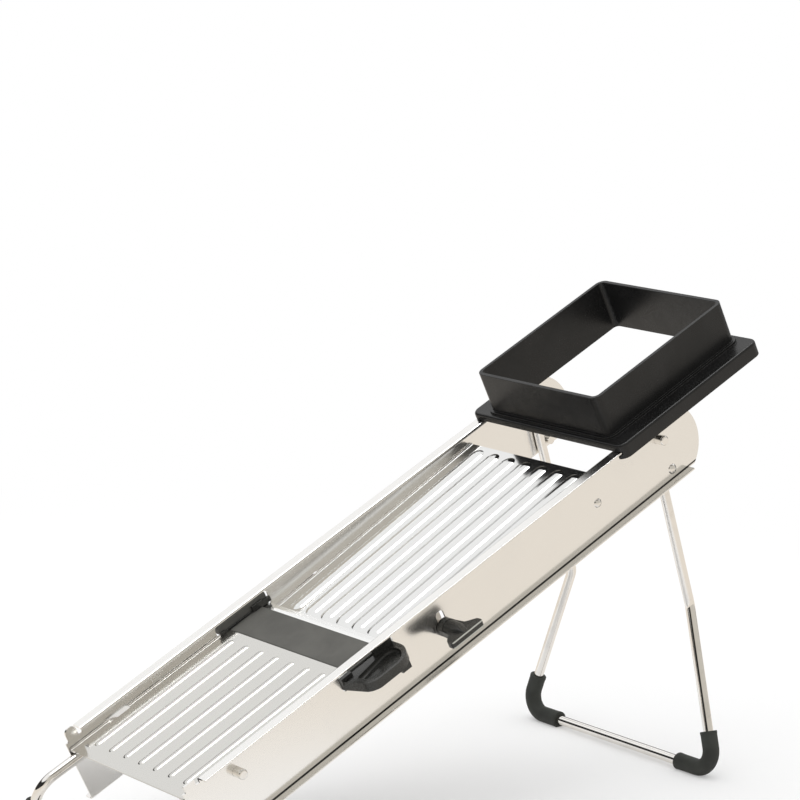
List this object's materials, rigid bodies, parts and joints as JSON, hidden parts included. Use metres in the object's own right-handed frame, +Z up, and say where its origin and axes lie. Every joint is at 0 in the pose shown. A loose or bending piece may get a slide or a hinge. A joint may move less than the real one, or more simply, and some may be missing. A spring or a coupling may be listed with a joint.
{
  "type": "mandoline slicer",
  "caption": "Folding kitchen mandoline: ribbed steel plates between two rails, sliding food carriage, pull-out blade holder, wing-knob thickness setting and wire legs with rubber feet.",
  "frame": {"origin": "on the table under the middle of the whole slicer", "axes": "+X along the deck towards its raised rear end, +Y to the left side, away from the knob, +Z up"},
  "size_m": [0.4346, 0.1718, 0.2808],
  "materials": {
    "rail_steel": "satin, fine grain along the rail",
    "plate_steel": "polished",
    "bracket_steel": "satin",
    "rod_chrome": "polished",
    "rivet_steel": "polished",
    "blade_steel": "ground",
    "holder_plastic": "fine grain",
    "grip_plastic": "satin",
    "carriage_plastic": "satin",
    "foot_rubber": "matt"
  },
  "bodies": {
    "base": {"right_rail": "rail_steel", "left_rail": "rail_steel", "run_out_plate": "plate_steel", "front_cross_bar": "bracket_steel", "middle_cross_bar": "bracket_steel", "hinge_rod": "rivet_steel", "stop_rivets": "rivet_steel"},
    "run_in": {"run_in_plate": "plate_steel", "front_bracket": "bracket_steel", "rear_bracket": "bracket_steel", "clamp_rod": "rod_chrome", "clamp_washer": "rod_chrome", "clamp_end_cap": "grip_plastic"},
    "knob": {"wing_knob": "grip_plastic"},
    "blade_unit": {"blade": "blade_steel", "blade_rivets": "rivet_steel", "blade_holder": "holder_plastic", "holder_grip": "grip_plastic"},
    "front_leg": {"front_leg": "rod_chrome", "front_foot_right": "foot_rubber", "front_foot_left": "foot_rubber"},
    "rear_stand": {"rear_stand": "rod_chrome", "rear_foot_right": "foot_rubber", "rear_foot_left": "foot_rubber"},
    "carriage": {"food_carriage": "carriage_plastic"}
  },
  "joints": [
    {"name": "carriage_slide", "type": "slide", "parent": "base", "child": "carriage", "axis": [0.9026, 0, 0.4305], "range_m": [-0.323, 0]},
    {"name": "blade_slide", "type": "slide", "parent": "base", "child": "blade_unit", "axis": [0, -1, 0], "range_m": [0, 0.135]},
    {"name": "plate_tilt", "type": "hinge", "parent": "base", "child": "run_in", "pos_m": [0.0964, 0, 0.17344], "axis": [0, 1, 0], "range_deg": [-1, 3.4]},
    {"name": "knob_turn", "type": "hinge", "parent": "run_in", "child": "knob", "pos_m": [-0.01693, 0, 0.1188], "axis": [0, -1, 0], "range_deg": [0, 360]},
    {"name": "front_leg_fold", "type": "hinge", "parent": "base", "child": "front_leg", "pos_m": [-0.15834, 0, 0.06224], "axis": [0, -1, 0], "range_deg": [0, 131]},
    {"name": "rear_stand_fold", "type": "hinge", "parent": "base", "child": "rear_stand", "pos_m": [0.14261, 0, 0.20523], "axis": [0, 1, 0], "range_deg": [0, 61]}
  ]
}
